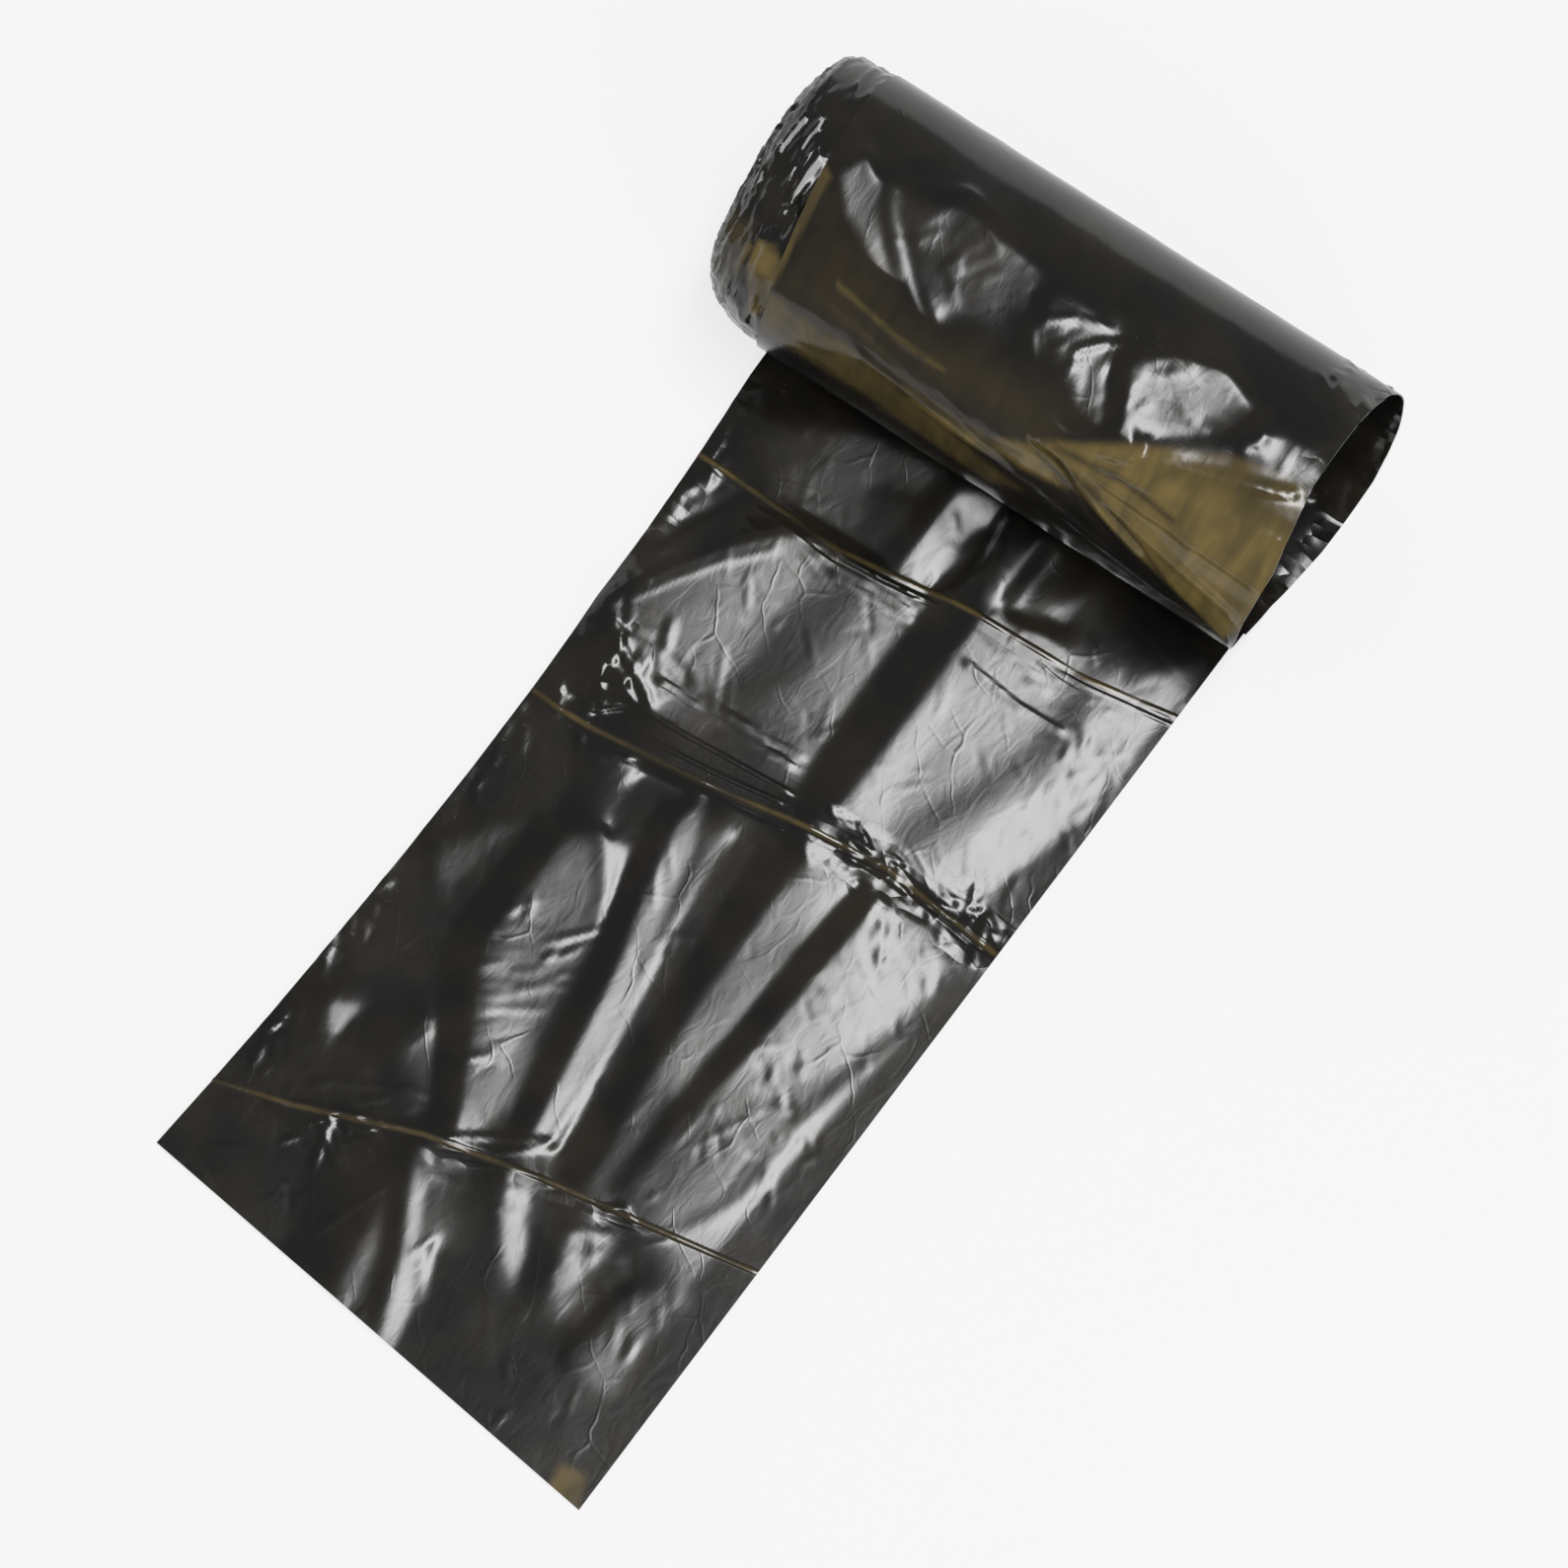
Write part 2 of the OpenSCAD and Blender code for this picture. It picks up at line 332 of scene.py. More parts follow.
# The floor is seen nearly white, and keeps the object's shadow
floorPaint = bpy.data.materials.new("paleFloor")
floorPaint.use_nodes = True
paint = floorPaint.node_tree
floorShader = paint.nodes["Principled BSDF"]
feed(paint, floorShader, {
    "Base Color": stageLook["floorColour"], "Roughness": stageLook["floorRough"],
    "Specular IOR Level": stageLook["floorGloss"]})
floorWhite = addNode(paint, "ShaderNodeEmission", {"Strength": 1.0})
rays = paint.nodes.new("ShaderNodeLightPath").outputs
seen = rays["Is Camera Ray"]
for kind in ("Is Glossy Ray", "Is Transmission Ray"):
    seen = maths(paint, "MAXIMUM", seen, rays[kind])
floorMix = addNode(paint, "ShaderNodeMixShader", {
    "Fac": maths(paint, "MULTIPLY", seen, stageLook["floorWhite"]),
    1: floorShader.outputs["BSDF"], 2: floorWhite.outputs["Emission"]})
feed(paint, paint.nodes["Material Output"], {"Surface": floorMix.outputs["Shader"]})

clearSelection()
drop = (0, 0, -stageLook["floorDrop"])
bpy.ops.mesh.primitive_plane_add(size=stageLook["floorSize"], location=drop)
floor = bpy.context.object
floor.name = "floor"
floor.data.materials.append(floorPaint)


def addLamp(name, direction, distance, size, radiance):
    clearSelection()
    away = Vector(direction).normalized()
    bpy.ops.object.light_add(type="AREA", location=Vector(stageLook["centre"]) + away * distance)
    lamp = bpy.context.object
    lamp.name = name
    lamp.data.shape = "RECTANGLE"
    lamp.data.size, lamp.data.size_y = size
    lamp.data.energy = radiance * math.pi * size[0] * size[1]
    upward = (Vector((0, 1, 0)) - away * away.y).normalized()
    sideways = upward.cross(away)
    lamp.rotation_euler = Matrix((sideways, upward, away)).transposed().to_euler()


for lampValues in stageLook["lamps"]:
    addLamp(*lampValues)

shot = {
    "azimuth": 33.61,
    "elevation": 77.3,
    "distance": 2.2,
    "target": (0.002914, 0.011898, 0.0),
    "lens": 187.52,
    "sensor": 36,
    "clip": (0.1, 50),
}
turn, tilt = math.radians(shot["azimuth"]), math.radians(shot["elevation"])
back = Vector((math.sin(turn) * math.cos(tilt), -math.cos(turn) * math.cos(tilt), math.sin(tilt)))
bpy.ops.object.camera_add(location=Vector(shot["target"]) + back * shot["distance"])
camera = bpy.context.object
camera.name = "camera"
camera.rotation_euler = (-back).to_track_quat("-Z", "Y").to_euler()
camera.data.lens = shot["lens"]
camera.data.sensor_width = shot["sensor"]
camera.data.sensor_fit = "HORIZONTAL"
camera.data.clip_start, camera.data.clip_end = shot["clip"]
bpy.context.scene.camera = camera
print("floor, lamps and camera are in place")


filmLook = {
    "black": (0.0095, 0.0091, 0.0084, 1),
    "brown": (0.025, 0.0215, 0.015, 1),
    # ochre and ochreDeep are painted warm light, light through and off the film, not the film's own
    # colour
    "ochre": (0.235, 0.168, 0.055, 1),
    "ochreDeep": (0.14, 0.105, 0.04, 1),
    "ior": 1.52,
    "rough": (0.13, 0.18),
    # Noise: cells to the metre, detail, and for patches the values where they start and are full
    "blotch": (38, 4, 0.42, 0.68),
    "streak": (160, 3, 0.35, 0.65),
    "shown": (45, 2, 0.48, 0.64),
    "satin": (120, 3),
    "wrinkles": (210, 3),
    "wrinkle": 0.00003,      # height of the fine wrinkles
    "facetScale": 240,       # crushed facets: cells to the metre, their stretch, turn and slope
    "facetStretch": (0.55, 1.3, 1),
    "facetTurn": 0.25,
    "facetSlope": 0.17,
    "bend": 0.006,           # how far the cells' edges are bent, and how finely
    "bendScale": 60,
    "lineScale": 85,         # fine crease lines: the same, and their width and height
    "lineStretch": (1.7, 0.45, 1),
    "lineTurn": 0.5,
    "lineWidth": 0.045,
    "line": 0.000017,
}


def makeFilm(name):
    film = bpy.data.materials.new(name)
    film.use_nodes = True
    tree = film.node_tree

    def mapped(source, stretch, turnBy=0.0):
        return addNode(tree, "ShaderNodeMapping", {
            "Vector": source, "Scale": stretch, "Rotation": (0, 0, turnBy)}).outputs["Vector"]

    def noise(source, scale, detail, stretch=(1, 1, 1), distortion=0.0):
        return addNode(tree, "ShaderNodeTexNoise", {
            "Vector": mapped(source, stretch), "Scale": scale, "Detail": detail,
            "Distortion": distortion}).outputs["Fac"]

    def attribute(mask):
        reader = addNode(tree, "ShaderNodeAttribute", {})
        reader.attribute_name = mask
        return reader.outputs["Fac"]

    def ramp(source, low, high, start=0.0, end=1.0):
        return addNode(tree, "ShaderNodeMapRange", {
            "Value": source, "From Min": low, "From Max": high, "To Min": start,
            "To Max": end}).outputs["Result"]

    def patches(source, look, *how):
        scale, detail, low, high = look
        return ramp(noise(source, scale, detail, *how), low, high)

    def vectors(operation, *values):
        step = addNode(tree, "ShaderNodeVectorMath", dict(enumerate(values)))
        step.operation = operation
        return step.outputs

    def cells(source, feature, scale):
        pattern = addNode(tree, "ShaderNodeTexVoronoi", {"Vector": source, "Scale": scale})
        pattern.voronoi_dimensions = "2D"
        pattern.feature = feature
        return pattern.outputs

    def mix(factor, first, second):
        blend = addNode(tree, "ShaderNodeMix", {"Factor": factor, 6: first, 7: second})
        blend.data_type = "RGBA"
        return blend.outputs[2]

    def bump(height, distance, **normal):
        inputs = {"Height": height, "Distance": distance, "Strength": 1.0, **normal}
        return addNode(tree, "ShaderNodeBump", inputs).outputs["Normal"]

    place = addNode(tree, "ShaderNodeUVMap", {})
    place.uv_map = "web"
    solid = addNode(tree, "ShaderNodeTexCoord", {}).outputs["Object"]
    uv = place.outputs["UV"]
    paintedWarm = attribute("paintedWarmLight")
    crushed = attribute("crushed")

    # Colour: black film with random browner blotches, and painted warm light: ochre that stands in for
    # light shining through and reflecting off the thin film
    body = mix(patches(solid, filmLook["blotch"]), filmLook["black"], filmLook["brown"])
    streak = patches(uv, filmLook["streak"], (1, 0.25, 1), 0.6)
    ochre = mix(streak, filmLook["ochreDeep"], filmLook["ochre"])

    # Relief: wrinkles across the web, and crushed facets where the film is crumpled
    wrinkle = noise(uv, *filmLook["wrinkles"], (1, 0.45, 1), 1.2)
    # Each cell is a flat facet that leans its own way
    warp = addNode(tree, "ShaderNodeTexNoise", {"Vector": uv, "Scale": filmLook["bendScale"]})
    byHowMuch = (filmLook["bend"], filmLook["bend"], 0)
    longer = mapped(uv, filmLook["facetStretch"], filmLook["facetTurn"])
    bent = vectors("MULTIPLY_ADD", warp.outputs["Color"], byHowMuch, longer)["Vector"]
    cell = cells(bent, "F1", filmLook["facetScale"])
    lean = vectors("SUBTRACT", cell["Color"], (0.5, 0.5, 0.5))["Vector"]
    reach = vectors("SUBTRACT", bent, cell["Position"])["Vector"]
    rise = maths(tree, "MULTIPLY", vectors("DOT_PRODUCT", lean, reach)["Value"], crushed)
    facets = maths(tree, "MULTIPLY", rise, 2 * filmLook["facetSlope"])
    # Fine straight crease lines, here and there
    stretched = mapped(bent, filmLook["lineStretch"], filmLook["lineTurn"])
    edge = cells(stretched, "DISTANCE_TO_EDGE", filmLook["lineScale"])["Distance"]
    lines = maths(tree, "MULTIPLY", ramp(edge, filmLook["lineWidth"], 0.0),
                  patches(uv, filmLook["shown"]))
    creased = bump(lines, filmLook["line"], Normal=bump(facets, 1.0))

    # The gloss is slightly uneven
    feed(tree, tree.nodes["Principled BSDF"], {
        "IOR": filmLook["ior"],
        "Base Color": mix(paintedWarm, body, ochre),
        "Roughness": ramp(noise(solid, *filmLook["satin"]), 0.0, 1.0, *filmLook["rough"]),
        "Normal": bump(wrinkle, filmLook["wrinkle"], Normal=creased)})
    return film


blackFilm = makeFilm("blackFilm")


tail = {
    "columns": 148,
    "rowCounts": (30, 16, 58, 36, 98, 16, 44),
    "start": 0.5,
    "middleEnd": 288.7,
    "endSlope": 0.1297,    # how much longer the right edge is, in mm for each mm across
    "lift": 0.6,           # upper face of film that lies flat
    "leftEdge": [(0, -74.5), (15, -74), (28, -72.9), (41, -71.9), (54, -71), (67, -70.4), (94, -69.3),
                 (121, -68.7), (148, -68.5), (176, -68.8), (203, -69.7), (231, -70.8), (259, -72.5),
                 (280, -74)],
    "rightEdge": 75.8,
    # All places on the tail are x and the distance from the fold.
    # Where film falls to the right and shines: corners, fall, soft edge, fall away from the roll
    "shining": [
        ([(15, 110), (22, 103), (54, 103), (66, 106), (72, 114), (50, 117), (18, 118)], 0.09, 4, 0),
        ([(3, 5), (-6, 6), (-10, 14), (-10, 36), (1, 37), (5, 22)], 0.12, 3, 0.22),
        ([(-60, 24), (-40, 10), (-7, 6), (-6, 34), (-32, 35), (-50, 36)], 0.042, 8, 0.25),
        ([(10, 10), (27, 24), (27, 29), (15, 34)], 0.055, 6, 0.2),
        ([(28, 26), (33, 20), (38, 10), (36, 25)], 0.066, 3, 0.2),
        ([(60, 30), (72, 13), (77, 27)], 0.064, 6, 0.2),
        ([(-66, 90), (-58, 72), (-47, 56), (-38, 47), (-25, 45), (3, 43), (4, 78), (5, 90), (6, 105.5),
          (-24, 108), (-40, 107.5), (-47, 104), (-57, 99)], 0.085, 4, 0),
        ([(-66, 44), (-57, 44), (-62, 57), (-66, 68), (-70, 61)], 0.10, 4, 0),
        ([(17, 37), (22, 34), (50, 35), (74, 32), (75, 62), (70, 84), (65, 98), (58, 103), (38, 104),
          (17, 102), (17, 81), (17, 54)], 0.085, 4, 0),
        ([(19, 52), (26, 50), (29, 74), (31, 102), (19, 102), (18, 81)], 0.105, 4, 0),
        ([(56, 42), (71, 36), (73, 60), (66, 90), (58, 104), (46, 104), (53, 78), (58, 60)],
          0.115, 4, 0),
        ([(-37, 160), (-36, 150), (-30, 146), (-21, 157), (-15, 171), (-9, 196), (-5, 214), (-4, 228),
          (-10, 232), (-26, 204), (-36, 188), (-36, 173)], 0.062, 6, 0),
        ([(-36, 190), (-25, 184), (-12, 196), (-10, 214), (-23, 204)], 0.095, 4, 0),
        ([(-62, 172), (-54, 158), (-47, 153), (-51, 171), (-55, 180)], 0.064, 4, 0),
        ([(-37, 222), (-36, 214), (-18, 231), (-23, 234)], 0.060, 4, 0),
        ([(-16, 128), (-12, 121), (-6, 134), (0, 159), (5, 183), (8, 203), (10, 222), (5, 222),
          (-1, 192), (-5, 170), (-11, 150)], 0.080, 4, 0),
        ([(18, 131), (21, 118), (32, 118), (33, 134), (32, 164), (29, 193), (30, 224), (26, 224),
          (22, 197), (19, 166)], 0.064, 5, 0),
        ([(42, 118), (62, 118), (68, 125), (66, 141), (61, 162), (58, 182), (58, 205), (50, 222),
          (35, 220), (36, 188), (38, 170), (39, 149)], 0.068, 6, 0),
        ([(-61, 222), (-51, 218), (-53, 233)], 0.115, 1.5, 0),
        ([(-17, 243), (-8, 250), (-1, 263), (8, 278), (12, 292), (5, 289), (-4, 267), (-12, 253)],
          0.112, 3, 0),
        ([(-15, 260), (-12, 282), (-9, 290), (-4, 286), (-8, 272)], 0.07, 4, 0),
        ([(6, 235), (14, 234), (23, 249), (27, 259), (19, 254), (12, 245)], 0.095, 2, 0),
        ([(29, 232), (41, 234), (41, 243), (38, 255), (35, 254), (30, 240)], 0.062, 3, 0),
        ([(42, 287), (45, 288), (49, 293)], 0.07, 2, 0),
        ([(52, 246), (60, 238), (65, 244), (66, 264), (52, 266)], 0.045, 7, 0),
        # Too steep to shine
        ([(17, 8), (23, 8), (23, 31), (17, 31)], 0.25, 2, 0.2),
    ],
    # Where the film rests on the floor and stays dark: corners, soft edge
    "resting": [
        ([(73, 36), (78, 36), (78, 110), (71, 110), (72, 90)], 3),
        ([(72, 116), (78, 116), (78, 230), (66, 232), (66, 214), (67, 198), (68, 180), (72, 150)], 8),
        ([(68, 232), (78, 228), (78, 298), (50, 294), (20, 292), (16, 270), (30, 270), (66, 272)], 5),
        ([(-74, 256), (-40, 262), (-30, 284), (-74, 280)], 5),
        ([(0, 124), (8, 124), (11, 158), (13, 190), (15, 215), (13, 222), (7, 184), (3, 158)], 2),
        ([(-74, 128), (-50, 128), (-44, 146), (-56, 152), (-70, 150)], 6),
        ([(-66, 186), (-48, 186), (-46, 208), (-66, 212)], 6),
        ([(-30, 124), (-18, 122), (-20, 138), (-28, 140)], 4),
        ([(3, 262), (16, 262), (18, 292), (14, 292), (10, 276)], 2),
        ([(44, 236), (50, 236), (47, 258), (42, 258)], 3),
    ],
    # Where it rises to the right and stays dark: corners, rise, soft edge
    "rising": [
        ([(-15, 8), (-11, 7), (-11, 37), (-15, 37)], 0.3, 1.5),
        ([(5, 42), (8, 36), (15, 36), (15, 104), (8, 106)], 0.24, 2.5),
        ([(-50, 118), (-44, 111), (-36, 109.5), (-27, 109.2), (-12, 108), (5, 107), (8, 111),
          (-14, 115.5), (-36, 118)], 0.1, 1.2),
        ([(-46, 150), (-38, 150), (-38, 188), (-27, 206), (-12, 233), (-19, 233), (-33, 210),
          (-46, 190)], 0.2, 2),
        ([(-23, 124), (-17, 128), (-12, 150), (-6, 170), (-2, 192), (4, 222), (-1, 222), (-6, 200),
          (-10, 176), (-17, 150)], 0.2, 2),
        ([(11, 120), (17, 120), (17, 166), (20, 197), (24, 224), (18, 224), (14, 197), (11, 166)],
          0.18, 2),
        ([(34.5, 116), (41, 118), (38, 150), (37, 170), (35, 192), (32, 192), (33, 164)], 0.26, 1.5),
    ],
    # Dull bands in the shining film: corners, share of the fall taken off, soft edge
    "dull": [
        ([(-26, 60), (-16, 47), (-9, 60), (-16, 90), (-26, 94)], 0.42, 9),
        ([(48, 36), (56, 40), (54, 62), (48, 82), (38, 104), (32, 100), (42, 78), (49, 56)], 0.42, 8),
        ([(24, 120), (30, 140), (26, 200), (20, 200), (18, 160)], 0.15, 8),
        ([(20, 194), (34, 184), (58, 168), (72, 180), (66, 230), (22, 230)], 0.38, 10),
    ],
    # The three creases across the web, and the line beside the first two: height, half width
    "creaseShape": (0.6, 0.85),
    "besideShape": (0.3, 0.7),
    "beside": 2.3,
    "creases": [
        [(-77, 41), (-63, 41), (-25, 42.9), (8, 37.6), (50, 35.6), (77, 30.5)],
        [(-77, 120), (-60, 121), (-50, 120.7), (-39, 119.5), (-25, 118), (-12, 116.2), (9, 112.3),
         (38, 109), (77, 112.4)],
        [(-76, 258), (-50, 250.2), (-18, 238), (15, 230.3), (40, 226.1), (77, 219.5)],
    ],
    # Single lines pressed or raised in the film: points, height, half width
    "lines": [
        ([(-52, 117), (-46, 111.5), (-38, 108.8), (-27, 108.5), (-12, 107.3), (6, 106)], 0.45, 0.8),
        ([(-50, 118.5), (-36, 115), (-16, 113), (6, 109.5)], 0.45, 0.8),
        ([(-43, 100), (-22, 100.5), (2, 99.5)], 0.4, 1.0),
        ([(-36, 96.5), (-14, 97.5), (3, 96)], 0.25, 1.1),
        ([(-65, 95), (-57, 100), (-48, 104.7), (-41, 108.5)], -0.7, 1.3),
        ([(-63, 93), (-55, 98), (-46, 103), (-39, 107)], 0.35, 1.3),
        ([(-59, 93), (-49, 92), (-35, 95)], -0.25, 1.3),
        ([(-62, 86.6), (-56, 75.4), (-48.6, 64), (-38, 51.7)], 0.1, 1.4),
        ([(-51.4, 123), (-48, 127), (-34, 121.5)], 0.45, 1.2),
        ([(-27, 43.8), (-10, 43), (1, 41.2)], 0.35, 1.1),
        ([(-24, 49), (-8, 48.6), (4, 48)], 0.3, 1.2),
        ([(-42, 45.5), (-26, 47), (-12, 46), (2, 46)], 0.3, 1.1),
        ([(20, 50), (40, 52), (55, 51)], 0.3, 1.3),
        ([(-44, 252), (-41, 247), (-36, 262)], 0.3, 1.3),
        ([(-43, 250), (-31, 258)], 0.3, 1.2),
        ([(-52, 250), (-33, 243)], 0.4, 1.3),
        ([(-17, 253), (-25, 276)], 0.17, 1.3),
        ([(-44, 246), (-14, 236), (-2, 228), (12, 220)], 0.35, 1.2),
        ([(-14, 236), (1, 231), (12, 221)], 0.3, 1.2),
        ([(32, 228), (37, 225), (42, 227)], 0.45, 1.2),
    ],
    # Crinkles that fan out from one point at the left edge: height, half width, soft ends
    "fanFrom": (-53.5, 112),
    "fanTo": [(-71, 119), (-70, 116), (-69, 113), (-68.4, 109.5), (-67, 106), (-66.5, 101.5),
              (-65.6, 97), (-65.5, 92), (-63, 89), (-60, 86)],
    "fanShape": (0.18, 1.8, 8),
    # Short creases: count, box, lengths, lean and its spread in degrees, height, half width, seed
    "crinkles": [
        # puckers at the second crease, and wrinkles beside the three creases
        (60, (13, 72, 103, 118), (5, 14), 20, 25, 0.28, 1.3, 5),
        (30, (-60, 70, 39, 52), (10, 30), 2, 5, 0.16, 0.9, 6),
        (16, (-40, 6, 94, 104), (14, 34), -3, 3, 0.14, 0.8, 13),
        (30, (-50, 46, 226, 246), (8, 22), -12, 12, 0.2, 0.9, 7),
        (18, (-50, -24, 236, 262), (6, 18), -20, 50, 0.22, 0.9, 14),
        # crinkled left edge
        (60, (-76, -62, 14, 112), (4, 12), 70, 35, 0.3, 1.6, 8),
        (36, (-70, -46, 88, 120), (5, 16), 55, 35, 0.3, 1.6, 15),
        (50, (-76, -62, 118, 240), (4, 12), 60, 35, 0.25, 1.5, 9),
        # fine lines in the shining film
        (40, (52, 74, 44, 106), (5, 16), 60, 35, 0.07, 1.5, 10),
        (60, (40, 68, 120, 205), (5, 13), 25, 22, 0.11, 1.3, 11),
        (26, (-36, -12, 165, 215), (10, 24), -38, 7, 0.13, 1.1, 16),
        (40, (-70, 74, 10, 285), (8, 30), 60, 50, 0.06, 1.2, 12),
        (60, (-60, 72, 46, 106), (6, 20), 35, 40, 0.07, 1.2, 17),
        (70, (-68, 72, 120, 290), (4, 14), 75, 40, 0.11, 1.2, 18),
        (34, (-60, 70, 16, 38), (4, 14), 90, 35, 0.07, 1.4, 19),
        (16, (-71, -63, 225, 256), (4, 10), 80, 25, 0.25, 1.4, 20),
        (14, (44, 66, 236, 268), (5, 14), 50, 25, 0.09, 1.3, 21),
    ],
    # How firmly the floor holds the film: anywhere, at the fold, the right and left edge, at rest
    "ties": (0.00003, 0.5, 0.3, 0.1, 0.2),
    "slackGrip": 0.008,
    "grid": (76, 300),     # the settled film, from the middle and from the fold
    "awayEnds": 26,        # where film stops falling away from the roll, and from where on
    "awayFull": 4,
    "raised": 0.12,
    "uneven": (0.12, 0.025),
    # How crushed the film is: second crease, beside the third, left edge, knot
    "crushed": (1.2, 0.4, 0.5, 0.4),
    "creaseHighlightShare": 0.7,       # how strong the painted ochre highlight is along the creases and at the torn corner
    "cornerShare": 0.7,
    # Where the film is crushed at the left edge, and where an ochre highlight is painted at the torn
    # end
    "knot": [(-69, 92), (-60, 88), (-48, 110), (-54, 120), (-70, 121)],
    "ochreCorner": [(64, 291), (72, 290), (76, 300), (66, 300)],
}


def shiningFilm(x, s, patches, dull, rising):
    # The falls to the right and away from the roll, and how firmly the film keeps to them
    fall, away, firm = np.zeros(x.shape), np.zeros(x.shape), np.zeros(x.shape)
    for corners, slope, soft, slopeAway in patches:
        mask = insidePatch(x, s, corners, soft)
        fall = np.maximum(fall, slope * mask)
        away = np.maximum(away, slopeAway * mask)
        firm = np.maximum(firm, mask)
    for corners, share, soft in dull:
        fall = fall * (1 - share * insidePatch(x, s, corners, soft))
    for corners, slope, soft in rising:
        mask = insidePatch(x, s, corners, soft)
        fall = fall * (1 - mask) - slope * mask
        firm = np.maximum(firm, mask)
    return fall, away, firm


def settledTail():
    half, length = tail["grid"]
    x, s = np.meshgrid(np.arange(-half, half + 1.0), np.arange(0.0, length))
    fall, away, firm = shiningFilm(x, s, tail["shining"], tail["dull"], tail["rising"])
    away *= smooth(tail["awayEnds"], tail["awayFull"], s)
    anywhere, atFold, atRight, atLeft, resting = tail["ties"]
    # Each range runs in millimetres from where the hold starts to where it is full
    tie = anywhere + atFold * smooth(2.5, 0.5, s) + atRight * smooth(2.5, 0, half - x)
    tie += atLeft * smooth(4, 0, x + 74) * smooth(20, 45, s)
    for corners, soft in tail["resting"]:
        tie = np.maximum(tie, resting * insidePatch(x, s, corners, soft))
    return softened(settleFilm(-fall, -away, tail["slackGrip"] + firm, tie, (1, 1)), 2)


def tailRelief(x, s):
    h = sampled(settledTail(), x + tail["grid"][0], s)
    for i, line in enumerate(tail["creases"]):
        uneven = 0.55 + 0.45 * softNoise(x / 9, s / 30 + 5 * i, 33)
        h += crease(x, s, line, *tail["creaseShape"]) * uneven
        if i < 2:
            beside = [(px, ps + tail["beside"] + 0.5 * math.sin(px / 11)) for px, ps in line]
            here = smooth(-0.1, 0.4, softNoise(x / 16, s / 30 + 3 * i, 34))
            h += crease(x, s, beside, *tail["besideShape"]) * here
    for line, height, half in tail["lines"]:
        h += crease(x, s, line, height, half)
    for end in tail["fanTo"]:
        h += crease(x, s, [tail["fanFrom"], end], *tail["fanShape"])
    for crinkles in tail["crinkles"]:
        h += shortCreases(x, s, *crinkles)
    broad, fine = tail["uneven"]
    h += broad * softNoise(x / 24 + 9, s / 28, 21) + fine * softNoise(x / 9 + 9, s / 11, 22)
    return np.maximum(h + tail["raised"], 0) * smooth(0, 2.5, s - tail["start"])


def crossing(where, line):
    # The second coordinate of a line, given as points, at each first one
    return np.interp(where, *np.array(line, dtype=float).T)


def tailRows(x):
    # Distances along the tail, row by row, closer together at the creases
    first, second, third = (crossing(x, line) for line in tail["creases"])
    torn = tail["middleEnd"] + tail["endSlope"] * x
    knots = [np.full(x.shape, tail["start"]), first - 2, first + 4, second - 11, second + 3,
             third - 2, third + 4, torn]
    stretches = [low + (high - low) * np.arange(count)[:, None] / count
                 for low, high, count in zip(knots[:-1], knots[1:], tail["rowCounts"])]
    return np.concatenate(stretches + [knots[-1][None, :]])


def buildTail():
    rows = sum(tail["rowCounts"])
    piece, row, column = filmGrid("filmTail", tail["columns"], rows)
    across = np.linspace(0, 1, tail["columns"] + 1)
    x = np.zeros((rows + 1, 1)) + across * (2 * tail["rightEdge"]) - tail["rightEdge"]
    # The left edge's place depends on the rows' places, which depend on it
    for i in range(3):
        s = np.stack([tailRows(x[r])[r] for r in range(rows + 1)])
        leftX = crossing(s, tail["leftEdge"])
        x = leftX + across * (tail["rightEdge"] - leftX)
    z = tail["lift"] + tailRelief(x, s)
    skew = math.radians(web["skew"])
    places = np.stack([x - s * math.sin(skew), foldY + 0.5 - s * math.cos(skew), z], axis=-1)
    writePlaces(piece, toFrame(places[row, column]))
    writeUv(piece, x[row, column] * mm, s[row, column] * mm)
    thirdCrease = crossing(x, tail["creases"][2])
    atSecond, atThird, atEdge, inKnot = tail["crushed"]
    puckered = atSecond * tent(s - 111, 11) * smooth(8, 16, x)
    puckered += atThird * tent(s - thirdCrease - 3, 6) * smooth(44, 30, x)
    edges = smooth(12, 0, x + 74) * smooth(250, 230, s)
    knot = insidePatch(x, s, tail["knot"], 8)
    crushed = np.clip(puckered + edges * atEdge + inKnot * knot, 0, 1)
    writeMask(piece, "crushed", crushed[row, column])
    # Painted ochre highlights, along the creases and at the torn corner
    spot = insidePatch(x, s, tail["ochreCorner"], 3) * tail["cornerShare"]
    creaseHighlight = 0
    for line in tail["creases"]:
        creaseHighlight = creaseHighlight + crease(x, s, line, 1, 1.0) * (0.5 + 0.5 * softNoise(x / 11, s / 11, 31))
    writeMask(piece, "paintedWarmLight", np.clip(spot + tail["creaseHighlightShare"] * creaseHighlight, 0, 1)[row, column])
    thicken(piece)
    finishPiece(piece, blackFilm)
    return piece


filmTail = buildTail()
print("the tail is laid out")


